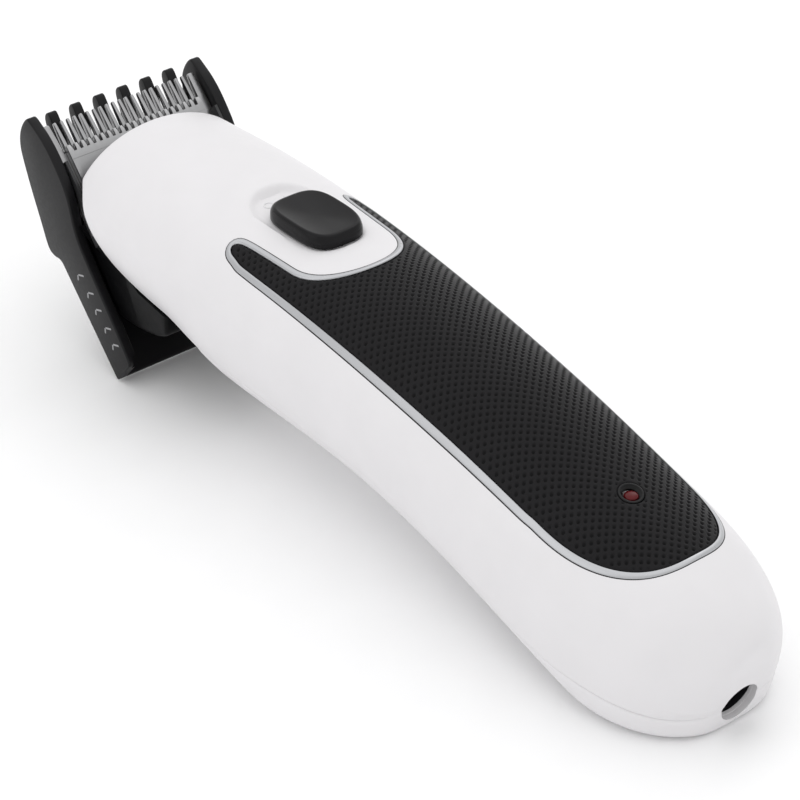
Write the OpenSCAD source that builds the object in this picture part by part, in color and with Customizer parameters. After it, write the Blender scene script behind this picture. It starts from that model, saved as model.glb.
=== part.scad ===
// Cordless hair clipper with an attachment comb, lying on the comb's heel and the tail.
// Millimetres. X is the width, +Y points to the blades, +Z is up, z = 0 is the table.
// Housing sections are ellipses strung along the handle. The blades and the comb are laid out
// in the cutting plane, which leans back by cut_angle and starts at the moving blade's tips.

/* [Housing] */
// half width of the housing at the indicator
tail_half_w = 19.6; // [19.6:0.1:20.6]
// half width of the housing in the grip
grip_half_w = 18.7; // [18.4:0.1:19.4]
// half width of the housing at the switch
neck_half_w = 20.2; // [19.8:0.1:20.8]
// half width of the housing at its front edge
front_half_w = 19.4; // [19:0.1:19.8]
// height of the ridge over the indicator
tail_top = 32.5; // [32:0.1:33.5]
// height of the ridge over the switch
neck_top = 46.2; // [46:0.1:46.4]
// length of the rounded tail behind the indicator
tail_len = 28.4; // [28.4:0.1:29.2]
// thickness of the housing walls
wall = 2; // [1.8:0.1:2.2]
// distance from the indicator to the front edge of the upper shell
front_y = 137.4; // [137:0.1:138]

/* [Grip pad] */
// depth of the pad's seat in the shell
pad_t = 1; // [0.8:0.1:1.2]
// width of the bright trim around the pad
trim_w = 1.1; // [0.6:0.1:1.2]
// radius of the rounded notch in front of the pad
notch_r = 11.6; // [11:0.1:12]
// radius of the hole in the pad over the indicator
led_hole_r = 2.2; // [1.8:0.1:2.6]

/* [Switch] */
// width of the switch button
button_w = 12.4; // [11:0.1:12.8]
// length of the switch button
button_l = 18; // [16:0.5:18]
// travel of the switch button
button_travel = 5; // [3:0.5:5]
// height of the button over its pocket floor
button_h = 3.1; // [2.4:0.1:3.6]

/* [Blades] */
// angle of the cutting plane above the table
cut_angle = 48; // [47.5:0.1:48.5]
// spacing of the cutting teeth
tooth_pitch = 1.5; // [1.4:0.05:1.6]
// number of teeth on the moving blade
moving_teeth = 21; // [19:1:21]
// half width of the fixed blade
fixed_half_w = 17.9; // [17.5:0.1:17.9]
// how far the fixed teeth reach past the moving ones
fixed_reach = 5.2; // [4:0.1:5.2]

/* [Comb] */
// spacing of the comb's prongs
prong_pitch = 5.5; // [5.3:0.1:5.5]
// thickness of a prong
prong_t = 2; // [1.6:0.1:2.4]
// spacing of the comb's length settings
comb_step = 3.8; // [3:0.1:4]
// distance of the comb floor below the cutting plane
comb_drop = 14.2; // [14:0.1:14.4]

/* [Drive] */
// radius of the motor can
motor_r = 9.8; // [9:0.1:10]
// height of the motor axis
motor_z = 30; // [29.5:0.1:30.5]
// offset of the drive pin from the motor axis
crank = 1.2; // [0.8:0.1:1.2]
// radius of one battery cell
cell_r = 7.1; // [6.8:0.1:7.2]
// length of one battery cell
cell_l = 49; // [44:0.5:50]

/* [Inlet] */
// radius of the access hole in the tail
inlet_r = 3.9; // [3.5:0.1:4]
// radius of the charger socket's bore
socket_r = 1.8; // [1.6:0.05:2]
// depth of the charger socket's bore
socket_l = 10; // [8:0.5:10]

/* [Hidden] */
$fn = 64;
mid_y = 61.394;
sec_n = 32;
blade_y = 143.6;
blade_z = 42.5;
facet_tilt = 14;
facet_y = -27.6;
inlet_z = 5.3;
block_w = 17.5;
comb_in = 18.1;
comb_out = 20.25;
tooth_n = moving_teeth;
moving_half_w = tooth_n * tooth_pitch / 2;
fixed_n = 23;
heel_u = -(blade_z - comb_drop * cos(cut_angle)) / sin(cut_angle);
board_tilt = 9;
pocket_z = 45;
button_y = 85;
pocket_y0 = button_y - button_l / 2 - 0.6;
pocket_y1 = button_y + button_l / 2 + button_travel + 0.6;
moving_back = -11.8;
pin_end = 127.3;

// stations along the handle, distance from the indicator and value
half_w_at = [[0, tail_half_w], [30, grip_half_w], [60, 18.9], [90, neck_half_w], [115, 20.6],
  [140, front_half_w]];
ridge_at = [[0, tail_top], [30, 40.5], [60, 44.8], [90, neck_top], [115, 46.5], [140, 45.2]];
waist_at = [[-30, 5.5], [-14, 10.4], [0, 14.3], [30, 22.5], [60, 28.9], [90, 32.2],
  [115, 32.6], [140, 33]];
belly_at = [[-30, 0.5], [-22, -0.05], [-10, 0.35], [0, 2.4], [30, 6], [60, 8.3], [90, 9.5], [115, 12.2],
  [140, 17.5]];
seam_at = [[-40, 5.3], [-24, 5.3], [-8, 7.2], [10, 8.5], [40, 12.5], [70, 17], [99.3, 19.3],
  [106.3, 20.3], [112.8, 20.6], [119.4, 21.7], [124.1, 24], [128.7, 28.3], [131.6, 32.1],
  [134.8, 37.4], [140, 41.5]];
shell_split = 99.3;
tail_us = [0.995, 0.975, 0.93, 0.86, 0.76, 0.63, 0.48, 0.32, 0.16];

function seg(v, x, i = 0) = (i >= len(v) - 2 || x < v[i + 1][0]) ? i : seg(v, x, i + 1);
function grade(v, i) =
  let(lo = max(i - 1, 0), hi = min(i + 1, len(v) - 1))
  (v[hi][1] - v[lo][1]) / (v[hi][0] - v[lo][0]);
// smooth value of a station table at x
function curve(v, x) =
  let(i = seg(v, x), h = v[i + 1][0] - v[i][0], t = (x - v[i][0]) / h,
    t2 = t * t, t3 = t2 * t)
  (2 * t3 - 3 * t2 + 1) * v[i][1] + (t3 - 2 * t2 + t) * h * grade(v, i)
    + (3 * t2 - 2 * t3) * v[i + 1][1] + (t3 - t2) * h * grade(v, i + 1);
function ease(t) = let(u = max(0, min(1, t))) u * u * (3 - 2 * u);
function closing(u, m) = pow(1 - pow(u, m), 1 / m);

// one section of the housing, w inside the outer skin
function section(y, w, n = sec_n) =
  let(u = max(-y, 0) / (tail_len - w), q = min(u, 0.9999),
    a = y < 0 ? 0.5 + (tail_half_w - w - 0.5) * closing(q, 2.4) : curve(half_w_at, y) - w,
    ym = max(y, -30), lin = tail_top + 0.267 * min(y, 0),
    top = y < 0 ? 14.3 + (lin - w - 14.3) * closing(q, 3) : curve(ridge_at, y) - w,
    mid = curve(waist_at, ym), bot = curve(belly_at, ym) + w,
    lean = facet_tilt * pow(q, 1.2),
    low = 2 + 0.7 * ease((112 - y) / 20) + 4.3 * pow(max(0, min(1, (60 - y) / 80)), 2))
  [for (i = [0:n - 1]) let(t = 360 * i / n, p = cos(t) > 0 ? 1 : 2 / low,
    sx = sign(sin(t)) * pow(abs(sin(t)), p),
    v = cos(t) > 0 ? max(top - mid, 1) * cos(t) : -max(mid - bot, 1) * pow(-cos(t), p))
    [a * sx, y - v * sin(lean), mid + v * cos(lean)]];

function stations(w) = concat([for (u = tail_us) -u * (tail_len - w)],
  [for (y = [0:12:132]) y], [141]);

// closed body through the housing's sections
module loft(w) {
  ys = stations(w);
  n = sec_n;
  pts = [for (y = ys) each section(y, w)];
  m = len(ys);
  sides = [for (j = [0:m - 2]) for (i = [0:n - 1]) let(a = j * n + i, b = j * n + (i + 1) % n,
    c = a + n, d = b + n) each [[a, c, b], [b, c, d]]];
  polyhedron(points = pts, faces = concat(sides, [[for (i = [0:n - 1]) i]],
    [[for (i = [n - 1:-1:0]) (m - 1) * n + i]]), convexity = 8);
}

module shift() translate([0, -mid_y, 0]) children();
module cut_plane() translate([0, blade_y, blade_z]) rotate([cut_angle, 0, 0]) children();
// side profile in (y, z) swept over the width
module swept(half) rotate([90, 0, 90]) translate([0, 0, -half]) linear_extrude(2 * half) children();
// side profile in the cutting plane's own (along, out) pair
module swept_cut(half) cut_plane() swept(half) children();
module block(x0, x1, y0, y1, z0, z1) translate([x0, y0, z0]) cube([x1 - x0, y1 - y0, z1 - z0]);
module rod(r, a, b) {
  d = b - a;
  l = norm(d);
  translate(a) rotate([0, acos(d[2] / l), atan2(d[1], d[0])]) cylinder(r = r, h = l);
}
module facet_frame() translate([0, facet_y, inlet_z]) rotate([90 + facet_tilt, 0, 0]) children();
module rounded(w, l, r, h) {
  block(-w / 2 + r, w / 2 - r, -l / 2, l / 2, 0, h);
  block(-w / 2, w / 2, -l / 2 + r, l / 2 - r, 0, h);
  for (x = [-1, 1], y = [-1, 1]) translate([x * (w / 2 - r), y * (l / 2 - r), 0])
    cylinder(r = r, h = h);
}

function seam_line() = [for (y = concat([-40, -24], [for (i = [-16:8:96]) i], [99.3, 103, 106.3, 112.8, 116,
  119.4, 122, 124.1, 126.5, 128.7, 131.6, 134.8, 140])) [y, curve(seam_at, y)]];
module above_seam() swept(40) polygon(concat(seam_line(), [[150, 46], [150, 70], [-40, 70]]));
module below_seam() swept(40) polygon(concat(seam_line(), [[140, -10], [-40, -10]]));

// everything outside the flat facet in the tail
module facet_cut() facet_frame() block(-40, 40, -40, 60, 0, 40);
module inlet_collar() facet_frame() translate([0, 0, -6]) cylinder(r = 6, h = 12);
module inlet_hole() facet_frame() translate([0, 0, -14]) cylinder(r = inlet_r, h = 20);
module front_keep() translate([0, front_y - 160, -10]) cylinder(r = 160, h = 90, $fn = 180);

// plan outline of the pad, grown by d
function pad_half(y) = 14.1 + 1.1 * min(y, 84) / 84;
module pad_outline(d) offset(delta = d) offset(r = 1.4) offset(r = -1.4) difference() {
  polygon(concat([for (a = [-90:9:0]) let(s = -sin(a), c = cos(a))
      [14.1 * pow(c, 2 / 2.5), 8 - 23.2 * pow(s, 2 / 2.5)]],
    [for (y = [14:10:84]) [pad_half(y), y]], [[15, 88], [14.6, 93], [-14.6, 93], [-15, 88]],
    [for (y = [84:-10:14]) [-pad_half(y), y]],
    [for (a = [0:9:81]) let(s = sin(a), c = cos(a))
      [-14.1 * pow(c, 2 / 2.5), 8 - 23.2 * pow(s, 2 / 2.5)]]));
  translate([0, 66.7 + notch_r]) circle(r = notch_r, $fn = 48);
  polygon([[-notch_r, 66.7 + notch_r], [notch_r, 66.7 + notch_r], [notch_r + 0.6, 95],
    [-notch_r - 0.6, 95]]);
}
module pad_prism(d) translate([0, 0, 24]) linear_extrude(36) pad_outline(d);

module post(y, z0) translate([0, y, z0]) cylinder(r = 3, h = 40, $fn = 32);
module housing_bores() for (y = [-6, 58]) translate([0, y, 0]) {
  cylinder(r = 1.1, h = 22, $fn = 32);
}

module upper_shell() color([0.93, 0.93, 0.93]) shift() difference() {
  intersection() {
    union() {
      difference() {
        loft(0);
        loft(wall);
      }
      // nose behind the front edge, posts for the housing screws and the inlet's collar
      intersection() {
        loft(0.2);
        union() {
          intersection() {
            block(-40, 40, front_y - 2.6, front_y + 4, 20, 60);
            cut_plane() block(-40, 40, -30, 10, 1.3, 40);
          }
          post(-6, 13);
          post(58, 20);
          inlet_collar();
        }
      }
    }
    above_seam();
    front_keep();
  }
  facet_cut();
  inlet_hole();
  housing_bores();
  difference() {
    pad_prism(trim_w + 0.05);
    loft(pad_t + 0.05);
  }
  // switch pocket and the slot for its stem
  translate([0, (pocket_y0 + pocket_y1) / 2, pocket_z])
    rounded(button_w + 1.4, pocket_y1 - pocket_y0, 5, 10);
  block(-2.4, 2.4, button_y - 4.6, button_y + 4.6 + button_travel, 40, 50);
  cylinder(r = 1.6, h = 50, $fn = 32);
}

module lower_shell() color([0.9, 0.9, 0.9]) shift() difference() {
  intersection() {
    union() {
      difference() {
        loft(0);
        loft(wall);
      }
      intersection() {
        loft(0.2);
        union() {
          translate([0, -6, 0]) cylinder(r = 3.4, h = 7, $fn = 32);
          translate([0, 58, 0]) cylinder(r = 3.4, h = 19, $fn = 32);
          inlet_collar();
        }
      }
    }
    below_seam();
    block(-40, 40, -40, shell_split, -5, 60);
  }
  facet_cut();
  inlet_hole();
  housing_bores();
  for (p = [[-6, 5], [58, 11.5]]) translate([0, p[0], -2]) cylinder(r = 2.4, h = p[1] + 2,
    $fn = 32);
}

// side profile of the head under the shell
module head_profile() polygon([[110, 22], [110, 16], [113, 14.4], [117, 13.4], [121, 12.9],
  [125, 12.8], [128.4, 13.2], [131.2, 14.6], [142.6, 27.2], [146.4, 40.2], [140, 40.2], [131, 36]]);
module head_hollow() polygon([[106, 24], [112, 17.2], [117, 15.6], [124, 14.9],
  [129.6, 16.2], [141, 28.6], [142.6, 34], [136, 38], [128, 36]]);
module rail() block(-18.9, 18.9, -29, -17, -8.3, -6.7);

module head_cover() color([0.09, 0.09, 0.1]) shift() difference() {
  union() {
    difference() {
      intersection() {
        loft(0.1);
        below_seam();
        block(-40, 40, shell_split + 0.1, 150, -5, 60);
      }
      // nothing stands ahead of the chin, where the comb's floor slides past
      swept(40) polygon([[130, 5], [130, 13.2], [131.2, 14.6], [142.6, 27.2], [146.4, 40.2],
        [160, 40.2], [160, 5]]);
      // recesses that the comb's walls run in
      for (s = [-1, 1]) translate([s * (block_w + comb_out + 1) / 2, 0, 0])
        swept_cut((comb_out + 1 - block_w) / 2 - 0.15) offset(delta = 0.35) comb_side();
    }
    difference() {
      swept(block_w) head_profile();
      swept(block_w - 2) head_hollow();
      above_seam();
      block(-40, 40, 90, shell_split + 4, 0, 60);
    }
    cut_plane() rail();
  }
  above_seam();
  // room inside
  loft(wall);
  // seat of the blade set
  cut_plane() block(-30, 30, -20.4, 20, -3, 40);
  for (s = [-1, 1]) cut_plane() translate([s * 14, -15, -7.5]) rotate([0, s * 90, 0])
    cylinder(r = 1.1, h = 8, $fn = 32);
}

module grip_pad() color([0.05, 0.05, 0.055]) shift() difference() {
  intersection() {
    loft(0);
    pad_prism(-0.02);
  }
  loft(pad_t);
  cylinder(r = led_hole_r, h = 60, $fn = 32);
}

module trim_ring() color([0.75, 0.76, 0.78]) shift() difference() {
  intersection() {
    loft(-0.3);
    pad_prism(trim_w);
  }
  loft(pad_t);
  pad_prism(0);
}

module led_lens() color([0.35, 0.02, 0.02]) shift() {
  translate([0, 0, 27.2]) cylinder(r = 1.3, h = 3.6, $fn = 32);
  translate([0, 0, 30.5]) sphere(r = 1.3, $fn = 32);
}

module on_board() translate([0, 0, 23.4]) rotate([board_tilt, 0, 0]) children();

module circuit_board() color([0.1, 0.35, 0.18]) shift() difference() {
  on_board() block(-12, 12, -2.5, 92, 0, 1.6);
  translate([0, 58, 0]) cylinder(r = 3.4, h = 60, $fn = 32);
}

module led_body() color([0.8, 0.8, 0.75]) shift() {
  on_board() translate([0, 0.6, 1.6]) cylinder(r = 1.2, h = 1.6, $fn = 32);
}

module switch_body() color([0.25, 0.25, 0.27]) shift() difference() {
  on_board() block(-4.5, 4.5, 77, 93, 1.6, 3.4);
  block(-2.6, 2.6, 70, 99, 39.2, 50);
}

module switch_button() color([0.07, 0.07, 0.075]) shift() difference() {
  union() {
    translate([0, button_y, pocket_z + 0.3]) rounded(button_w, button_l, 4.6, button_h);
    block(-1.9, 1.9, button_y - 4, button_y + 4, 41.8, pocket_z + 1);
  }
  // dished thumb rest between end rims
  translate([0, button_y, pocket_z + button_h + 22.6]) rotate([0, 90, 0])
    cylinder(r = 23.6, h = 9.6, center = true, $fn = 96);
}

module switch_slider() color([0.85, 0.82, 0.7]) shift()
  block(-2.3, 2.3, button_y - 4.4, button_y + 4.4, 39.6, 41.8);

module dc_jack() color([0.08, 0.08, 0.08]) shift() difference() {
  facet_frame() block(-4, 4, -3.6, 3.6, -18, -6);
  facet_frame() translate([0, 0, -6 - socket_l]) cylinder(r = socket_r, h = socket_l + 2);
}

module cells_at(s) translate([s * 7.4, 0.8, 14]) rotate([board_tilt - 90, 0, 0]) children();
module cell(s) cells_at(s) {
  cylinder(r = cell_r, h = cell_l - 1);
  cylinder(r = 2.6, h = cell_l);
}
module cell_left() color([0.2, 0.45, 0.3]) shift() cell(-1);
module cell_right() color([0.2, 0.45, 0.3]) shift() cell(1);

module cell_tabs() color([0.78, 0.76, 0.7]) shift() {
  cells_at(0) block(-11, 11, -3, 3, -0.3, 0);
  for (s = [-1, 1]) cells_at(s) block(-3, 3, -3, 3, cell_l, cell_l + 0.3);
}

module cell_cradle() color([0.6, 0.6, 0.62]) shift() intersection() {
  cells_at(0) difference() {
    block(-16, 16, -2, 14, 4, cell_l - 6);
    for (s = [-1, 1]) translate([s * 7.4, 0, 0]) cylinder(r = cell_r + 0.05, h = 99);
    block(-20, 20, -12, 20, 9, cell_l - 11);
  }
  loft(wall + 0.05);
  above_belly();
}
module above_belly() block(-40, 40, -30, 60, 0, 60);

module along_motor(y) translate([0, y, motor_z]) rotate([-90, 0, 0]) children();
module motor_can() color([0.7, 0.7, 0.72]) shift() difference() {
  union() {
    along_motor(98) cylinder(r = motor_r, h = 23);
    along_motor(121) cylinder(r = 3, h = 0.7);
  }
  along_motor(117) cylinder(r = 1.3, h = 10);
}
module motor_cap() color([0.12, 0.12, 0.13]) shift() {
  along_motor(96.6) cylinder(r = motor_r - 0.6, h = 1.4);
  for (s = [-1, 1]) block(s * 5 - 0.9, s * 5 + 0.9, 94, 96.6, motor_z + 1, motor_z + 1.5);
}
module motor_bracket() color([0.35, 0.35, 0.37]) shift() difference() {
  intersection() {
    union() {
      block(-30, 30, 104, 105.6, 10, 50);
      block(-30, 30, 115.5, 117.1, 10, 50);
    }
    loft(wall + 0.1);
  }
  along_motor(90) cylinder(r = motor_r + 0.05, h = 40);
}
module motor_leads() color([0.75, 0.1, 0.1]) shift() for (s = [-1, 1]) {
  rod(0.55, [s * 5, 94.6, motor_z + 2.15], [s * 5, 89.5, 34.6]);
  translate([s * 5, 89.5, 34.6]) sphere(r = 0.7);
  rod(0.55, [s * 5, 89.5, 34.6], [s * 5, 89.5, 37.4]);
}

module motor_shaft() color([0.8, 0.8, 0.82]) shift() along_motor(118) cylinder(r = 1, h = 7);
module eccentric() color([0.9, 0.9, 0.85]) shift() difference() {
  union() {
    along_motor(122) cylinder(r = 3.4, h = 3.4);
    translate([crank, 0, 0]) along_motor(122) cylinder(r = 1, h = pin_end - 122);
  }
  along_motor(117) cylinder(r = 1, h = 8);
}

// toothed edge ending at y = 0, gaps of the given depth behind it
module toothed(half, back, n, gap, depth) polygon(concat([[-half, back], [half, back]],
  [[half, 0]], [for (i = [n - 1:-1:1]) let(x = (i - n / 2) * tooth_pitch)
    each [[x + gap / 2, 0], [x + gap / 3, -depth], [x - gap / 3, -depth], [x - gap / 2, 0]]],
  [[-half, 0]]));

module fixed_blade() color([0.72, 0.72, 0.73]) shift() cut_plane() difference() {
  translate([0, fixed_reach, -2.9]) linear_extrude(1.5)
    toothed(fixed_half_w, -18 - fixed_reach, fixed_n, 0.75, fixed_reach + 1.2);
  for (s = [-1, 1]) translate([s * 11, -15, -3]) {
    cylinder(r = 1, h = 3, $fn = 32);
    cylinder(r = 1.9, h = 0.9, $fn = 32);
  }
}

module moving_blade() color([0.6, 0.6, 0.62]) shift() cut_plane()
  translate([0, 0, -1.3]) linear_extrude(1.3)
    toothed(moving_half_w, moving_back, tooth_n, 0.7, 3.2);

module drive_yoke() color([0.15, 0.15, 0.16]) shift() difference() {
  union() {
    cut_plane() block(-6, 6, moving_back + 0.4, -6.6, 0, 1.4);
    cut_plane() block(-4.4, 4.4, -15, -7, 0.7, 2.6);
    intersection() {
      block(-4.4, 4.4, pin_end + 0.3, 132.8, motor_z - 4.2, motor_z + 4.2);
      cut_plane() block(-10, 10, -40, 20, 0.7, 20);
    }
  }
  block(-1.3, 1.3, pin_end - 1, 130.6, motor_z - 3, motor_z + 3);
}

module blade_carrier() color([0.1, 0.1, 0.11]) shift() cut_plane() difference() {
  union() {
    block(-fixed_half_w, fixed_half_w, -20.2, -12.1, -2.9, -0.1);
    for (s = [-1, 1]) block(s * (fixed_half_w - 0.3) - 0.3, s * (fixed_half_w - 0.3) + 0.3,
      -20.2, -3, -1.4, 0.9);
  }
  block(-30, 30, -18, 0, -5, -1.4);
  for (s = [-1, 1]) translate([s * 11, -15, -3]) cylinder(r = 0.8, h = 4, $fn = 32);
}

module blade_screws() color([0.62, 0.62, 0.64]) shift() cut_plane()
  for (s = [-1, 1]) translate([s * 11, -15, 0]) difference() {
    union() {
      translate([0, 0, -2.85]) cylinder(r = 1.8, h = 0.7, $fn = 32);
      translate([0, 0, -2.4]) cylinder(r = 0.78, h = 2.2, $fn = 32);
    }
    block(-0.25, 0.25, -1.4, 1.4, -3, -2.5);
    block(-1.4, 1.4, -0.25, 0.25, -3, -2.5);
  }

module blade_spring() color([0.7, 0.7, 0.66]) shift() cut_plane() {
  block(-13, 13, -19.4, -17.4, -0.1, 0.3);
  for (s = [-1, 1]) {
    block(s * 11 - 2, s * 11 + 2, -17.4, -7, 0.05, 0.45);
    block(s * 11 - 2, s * 11 + 2, -17.6, -17.2, -0.1, 0.45);
  }
}

// side profile of the comb's walls, along and out of the cutting plane
module comb_side() polygon([[heel_u, -comb_drop], [-18.4, -comb_drop], [-17, -16.2],
  [-14.9, -17], [-10.5, -15.2], [-4.1, -13], [1.8, -10.6], [4.6, -9.2], [6.6, -7], [7.7, -4.2],
  [7.9, -1.6], [6.9, -1], [5.6, -0.6], [3, 0.3], [-1, 0.8], [-8.6, 0.2], [-16.6, -4.2],
  [-25.5, -5], [-36, -5.7], [heel_u + 1, -6.6]]);
module prong_side() polygon([[-18.4, -comb_drop], [-17, -16.2], [-14.9, -17], [-10.5, -15.2],
  [-4.1, -13], [1.8, -10.6], [4.6, -9.2], [6.6, -7], [7.7, -4.2], [7.9, -1.6], [6.9, -1],
  [5.9, -2.4], [5.6, -3.6], [2, -3.9], [-12.5, -11], [-18.4, 1.6 - comb_drop]]);

module guide_comb() color([0.13, 0.13, 0.14]) shift() cut_plane() {
  difference() {
    union() {
      for (s = [-1, 1]) translate([s * (comb_in + comb_out) / 2, 0, 0])
        swept((comb_out - comb_in) / 2) comb_side();
    }
    // rail grooves, open at the heel, and the notches of the settings
    block(-19.2, 19.2, heel_u - 1, -11, -8.6, -6.4);
    for (i = [0:4], s = [-1, 1]) translate([s * comb_in, -15 - i * comb_step, -7.5])
      sphere(r = 0.8, $fn = 32);
  }
  block(-comb_in - 0.2, comb_in + 0.2, heel_u, -17.6, -comb_drop, 1.6 - comb_drop);
  block(-comb_in - 0.2, comb_in + 0.2, -17.2, -13.2, -16.2, -14.6);
  for (i = [-3:2]) translate([(i + 0.5) * prong_pitch, 0, 0]) swept(prong_t / 2) prong_side();
  block(-comb_in - 0.2, comb_in + 0.2, -18.6, -16.4, -16, -13);
}

module comb_detents() color([0.75, 0.75, 0.7]) shift() cut_plane() for (s = [-1, 1])
  translate([s * 16.6, -15, -7.5]) {
    sphere(r = 1, $fn = 32);
    rotate([0, -s * 90, 0]) cylinder(r = 1, h = 2, $fn = 32);
  }

module housing_screws() color([0.6, 0.6, 0.62]) shift() for (p = [[-6, 4.9], [58, 11.4]])
  translate([0, p[0], p[1]]) difference() {
    union() {
      translate([0, 0, -1.6]) cylinder(r = 2.1, h = 1.6, $fn = 32);
      cylinder(r = 1.05, h = 8, $fn = 32);
    }
    translate([0, 0, -2]) {
      block(-0.3, 0.3, -1.5, 1.5, 0, 1.2);
      block(-1.5, 1.5, -0.3, 0.3, 0, 1.2);
    }
  }

upper_shell();
lower_shell();
head_cover();
grip_pad();
trim_ring();
led_lens();
circuit_board();
led_body();
switch_body();
switch_button();
switch_slider();
dc_jack();
cell_left();
cell_right();
cell_tabs();
cell_cradle();
motor_can();
motor_cap();
motor_bracket();
motor_leads();
motor_shaft();
eccentric();
fixed_blade();
moving_blade();
drive_yoke();
blade_carrier();
blade_screws();
blade_spring();
guide_comb();
comb_detents();
housing_screws();
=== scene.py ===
"""Looks of a cordless hair clipper with its attachment comb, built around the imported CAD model.

Shapes are worked out in millimetres in the clipper's own layout: x across, y along the handle from
the indicator towards the blades, z up from the table. place() turns them into the frame's metres.
"""

import math

import bmesh
import bpy
import numpy as np
from mathutils import Matrix, Vector


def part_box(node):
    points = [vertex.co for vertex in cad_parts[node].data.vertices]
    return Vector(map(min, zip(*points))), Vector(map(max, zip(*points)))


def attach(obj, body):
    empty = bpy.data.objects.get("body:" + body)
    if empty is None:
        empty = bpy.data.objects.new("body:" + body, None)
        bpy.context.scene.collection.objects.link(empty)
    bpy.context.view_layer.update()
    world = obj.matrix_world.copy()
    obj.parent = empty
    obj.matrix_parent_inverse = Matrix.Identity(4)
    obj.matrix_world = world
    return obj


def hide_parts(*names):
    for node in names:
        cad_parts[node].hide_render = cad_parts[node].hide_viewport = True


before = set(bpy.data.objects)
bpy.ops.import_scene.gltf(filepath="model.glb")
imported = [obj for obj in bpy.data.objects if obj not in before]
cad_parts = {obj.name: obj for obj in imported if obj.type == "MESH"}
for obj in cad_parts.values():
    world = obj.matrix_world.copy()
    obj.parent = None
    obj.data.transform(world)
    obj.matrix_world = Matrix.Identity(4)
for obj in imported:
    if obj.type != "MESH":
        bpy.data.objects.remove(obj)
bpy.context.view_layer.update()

# ---------------------------------------------------------------- layout of the clipper, mm

MM = 0.001
indicator_low, indicator_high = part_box("led_lens")
MID_Y = -(indicator_low.y + indicator_high.y) / 2 / MM

TAIL_LEN = 28.4
TAIL_HALF_W = 19.6
TAIL_TOP = 32.5
TAIL_WAIST = 14.3
WALL = 2
FACET_ROUND = 0.9
INLET_R = 3.9
FRONT_Y = 137.4
FRONT_RADIUS = 160
SHELL_SPLIT = 99.3
FACET_POINT = np.array([0, -27.6, 5.3])
FACET_TILT = math.radians(14)
FACET_OUT = np.array([0, -math.cos(FACET_TILT), -math.sin(FACET_TILT)])
HALF_W = [(0, TAIL_HALF_W), (30, 18.7), (60, 18.9), (90, 20.2), (115, 20.6), (140, 19.4)]
RIDGE = [(0, TAIL_TOP), (30, 40.5), (60, 44.8), (90, 46.2), (115, 46.5), (140, 45.2)]
WAIST = [(-30, 5.5), (-14, 10.4), (0, TAIL_WAIST), (30, 22.5), (60, 28.9), (90, 32.2), (115, 32.6),
         (140, 33)]
BELLY = [(-30, 0.5), (-22, -0.05), (-10, 0.35), (0, 2.4), (30, 6), (60, 8.3), (90, 9.5),
         (115, 12.2), (140, 17.5)]
SEAM = [(-40, 5.3), (-24, 5.3), (-8, 7.2), (10, 8.5), (40, 12.5), (70, 17), (99.3, 19.3),
        (106.3, 20.3), (112.8, 20.6), (119.4, 21.7), (124.1, 24), (128.7, 28.3), (131.6, 32.1),
        (134.8, 37.4), (140, 41.5)]

CUT_ANGLE = math.radians(48)
BLADE_Y = 143.6
BLADE_Z = 42.5
COMB_IN = 18.1
COMB_OUT = 20.25
COMB_FLOOR = -14.2
HEEL_U = -(BLADE_Z + COMB_FLOOR * math.cos(CUT_ANGLE)) / math.sin(CUT_ANGLE)
TOOTH_PITCH = 1.5

NOTCH_R = 11.6
NOTCH_Y = 66.7 + NOTCH_R
PAD_DEPTH = 1.0
LED_HOLE_R = 2.2

BUTTON_Y = 85
BUTTON_W = 12.4
BUTTON_L = 18
BUTTON_H = 3.1
BUTTON_TRAVEL = 5
POCKET_Z = 45
POCKET_W = BUTTON_W + 1.4
POCKET_BACK = BUTTON_Y - BUTTON_L / 2 - 0.6
POCKET_FRONT = BUTTON_Y + BUTTON_L / 2 + BUTTON_TRAVEL + 0.6


def curve(table, x):
    """Smooth value of a table of stations at x."""
    xs, values = np.array(table, float).T
    x = np.asarray(x, float)
    grade = np.empty_like(values)
    grade[1:-1] = (values[2:] - values[:-2]) / (xs[2:] - xs[:-2])
    grade[0] = (values[1] - values[0]) / (xs[1] - xs[0])
    grade[-1] = (values[-1] - values[-2]) / (xs[-1] - xs[-2])
    i = np.clip(np.searchsorted(xs, x, side="right") - 1, 0, len(xs) - 2)
    h = xs[i + 1] - xs[i]
    t = (x - xs[i]) / h
    t2, t3 = t * t, t * t * t
    return ((2 * t3 - 3 * t2 + 1) * values[i] + (t3 - 2 * t2 + t) * h * grade[i]
            + (3 * t2 - 2 * t3) * values[i + 1] + (t3 - t2) * h * grade[i + 1])


def closing(u, power):
    return (1 - u ** power) ** (1 / power)


def smoothstep(x):
    x = np.clip(x, 0, 1)
    return x * x * (3 - 2 * x)


def section(y, inset=0.0):
    """Half width, ridge, waist, belly, lean and lower fullness of the housing at station y."""
    q = np.clip(-y / (TAIL_LEN - inset), 0, 1)
    tail = y < 0
    ahead = np.maximum(y, 0)
    half = np.where(tail, 0.5 + (TAIL_HALF_W - inset - 0.5) * closing(q, 2.4),
                    curve(HALF_W, ahead) - inset)
    half = np.where(q >= 1, 0, half)
    slope = TAIL_TOP + 0.267 * np.minimum(y, 0)
    ridge = np.where(tail, TAIL_WAIST + (slope - inset - TAIL_WAIST) * closing(q, 3),
                     curve(RIDGE, ahead) - inset)
    waist = curve(WAIST, np.maximum(y, -30))
    belly = curve(BELLY, np.maximum(y, -30)) + inset
    lean = FACET_TILT * q ** 1.2
    low = 2 + 0.7 * smoothstep((112 - y) / 20) + 4.3 * np.clip((60 - y) / 80, 0, 1) ** 2
    return half, ridge, waist, belly, lean, low


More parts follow.
